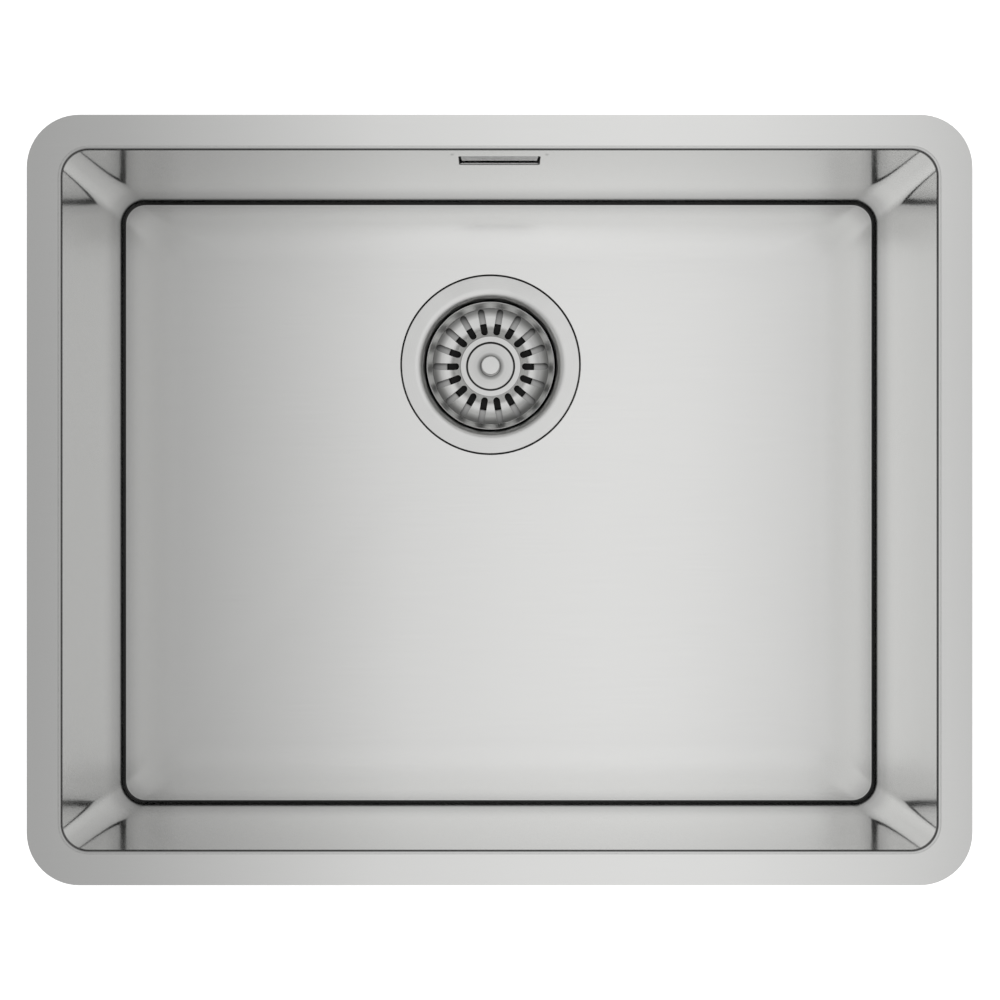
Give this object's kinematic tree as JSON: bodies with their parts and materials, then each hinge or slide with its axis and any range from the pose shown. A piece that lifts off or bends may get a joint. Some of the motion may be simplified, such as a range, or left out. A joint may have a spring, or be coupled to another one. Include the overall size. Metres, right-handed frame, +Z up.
{
  "type": "undermount kitchen sink",
  "caption": "Rectangular single-bowl steel sink with a flat bonding rim, a basket strainer waste that lifts out and a piped overflow in the back wall.",
  "frame": {"origin": "middle of the rim's top face, which bonds to the underside of the worktop", "axes": "+X along the long side, +Y to the back wall that holds the overflow, +Z up out of the bowl"},
  "size_m": [0.54, 0.4488, 0.2957],
  "materials": {
    "satin_steel": "satin, brushed",
    "bright_steel": "bright",
    "zinc_steel": "zinc plated",
    "brass": "machined",
    "black_rubber": "matt",
    "black_plastic": "moulded",
    "grey_plastic": "moulded",
    "pad_rubber": "matt, fine grain"
  },
  "bodies": {
    "sink": {"sink_bowl": "satin_steel", "strainer_cup": "bright_steel", "overflow_cover": "bright_steel", "centre_screw": "zinc_steel", "weld_stud_left": "zinc_steel", "weld_stud_right": "zinc_steel", "stud_washer_left": "zinc_steel", "stud_washer_right": "zinc_steel", "stud_nut_left": "zinc_steel", "stud_nut_right": "zinc_steel", "screw_insert": "brass", "flange_gasket": "black_rubber", "body_gasket": "black_rubber", "overflow_gasket": "black_rubber", "waste_body": "black_plastic", "overflow_housing": "black_plastic", "hose_clamp_upper": "black_plastic", "hose_clamp_lower": "black_plastic", "overflow_hose": "grey_plastic", "floor_pad_left": "pad_rubber", "floor_pad_right": "pad_rubber", "floor_pad_front": "pad_rubber", "wall_pad_front": "pad_rubber", "wall_pad_left": "pad_rubber", "wall_pad_right": "pad_rubber", "wall_pad_back_left": "pad_rubber", "wall_pad_back_right": "pad_rubber"},
    "catch_sleeve": {"stem_sleeve": "grey_plastic"},
    "strainer": {"strainer_basket": "bright_steel", "basket_knob": "bright_steel", "plug_stem": "zinc_steel", "plug_seal": "black_rubber", "seal_backing": "zinc_steel", "stem_nut": "zinc_steel"}
  },
  "joints": [
    {"name": "basket_lift", "type": "slide", "parent": "sink", "child": "catch_sleeve", "axis": [0, 0, 1], "range_m": [0, 0.07]},
    {"name": "basket_turn", "type": "hinge", "parent": "catch_sleeve", "child": "strainer", "pos_m": [-0.0055, 0.092, -0.2015], "axis": [0, 0, 1], "continuous": true}
  ]
}
